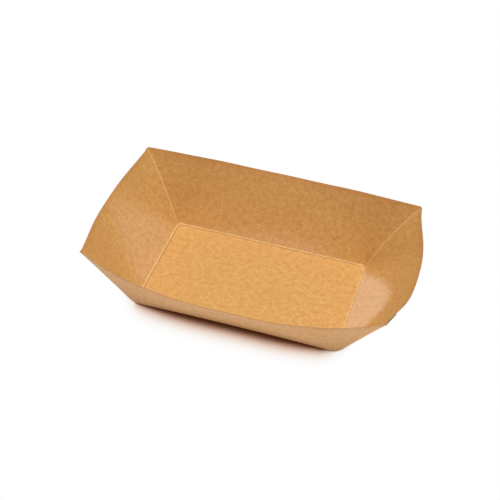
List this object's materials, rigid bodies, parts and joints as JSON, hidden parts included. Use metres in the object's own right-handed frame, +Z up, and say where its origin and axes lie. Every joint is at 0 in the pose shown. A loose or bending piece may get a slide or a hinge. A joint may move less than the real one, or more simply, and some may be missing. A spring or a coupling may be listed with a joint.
{
  "type": "paper food tray",
  "caption": "Open rectangular food tray folded from one sheet of kraft board, with flared sides and folded corner webs outside the end panels.",
  "frame": {"origin": "middle of the flat base's underside", "axes": "+X along the tray's length, +Y towards its back side, +Z up out of the open top"},
  "size_m": [0.1869, 0.1296, 0.0423],
  "materials": {
    "kraft_board": "uncoated matt kraft board with fine fibres and a slight sheen"
  },
  "bodies": {
    "root": {"folded_tray": "kraft_board"}
  },
  "joints": []
}
